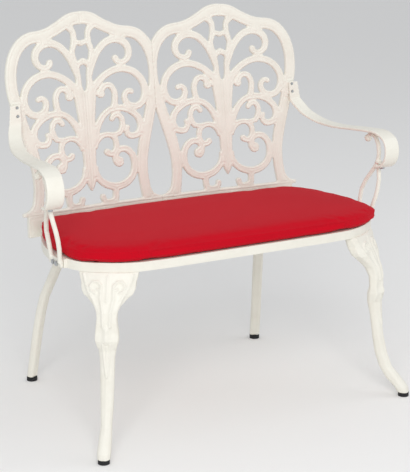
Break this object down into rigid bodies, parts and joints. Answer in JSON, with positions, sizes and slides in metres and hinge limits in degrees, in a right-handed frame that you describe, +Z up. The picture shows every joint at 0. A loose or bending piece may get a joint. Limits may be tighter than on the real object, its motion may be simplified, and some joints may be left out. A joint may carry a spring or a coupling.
{
  "type": "garden bench",
  "caption": "Two-seat cast aluminium garden bench with a pierced scrollwork back, ribbon scroll arms, cabriole legs and a loose red seat cushion.",
  "frame": {"origin": "on the floor under the middle of the bench's bounding box", "axes": "+Z up, +X along the bench to the sitter's left, the sitter faces -Y"},
  "size_m": [0.8922, 0.5601, 0.8758],
  "materials": {
    "white_paint": "satin off-white powder coat on cast aluminium",
    "plug_rubber": "matt black",
    "cushion_fabric": "plain woven red canvas",
    "fasteners": "plain zinc-plated steel"
  },
  "bodies": {
    "frame": {"back_casting": "white_paint", "seat_casting": "white_paint", "leg_front_left": "white_paint", "leg_front_right": "white_paint", "leg_rear_left": "white_paint", "leg_rear_right": "white_paint", "foot_plug_front_left": "plug_rubber", "foot_plug_front_right": "plug_rubber", "foot_plug_rear_left": "plug_rubber", "foot_plug_rear_right": "plug_rubber", "arm_left": "white_paint", "arm_right": "white_paint", "arm_bracket_left": "white_paint", "arm_bracket_right": "white_paint", "back_bolts": "fasteners", "back_bolt_nuts": "fasteners", "arm_back_bolts": "fasteners", "bracket_seat_bolts": "fasteners", "arm_tip_screws": "fasteners", "front_leg_bolts": "fasteners", "rear_leg_bolts": "fasteners"},
    "cushion": {"seat_cushion": "cushion_fabric"}
  },
  "joints": [
    {"name": "cushion_lift", "type": "slide", "parent": "frame", "child": "cushion", "axis": [0, 0, 1], "range_m": [0, 0.3]}
  ]
}
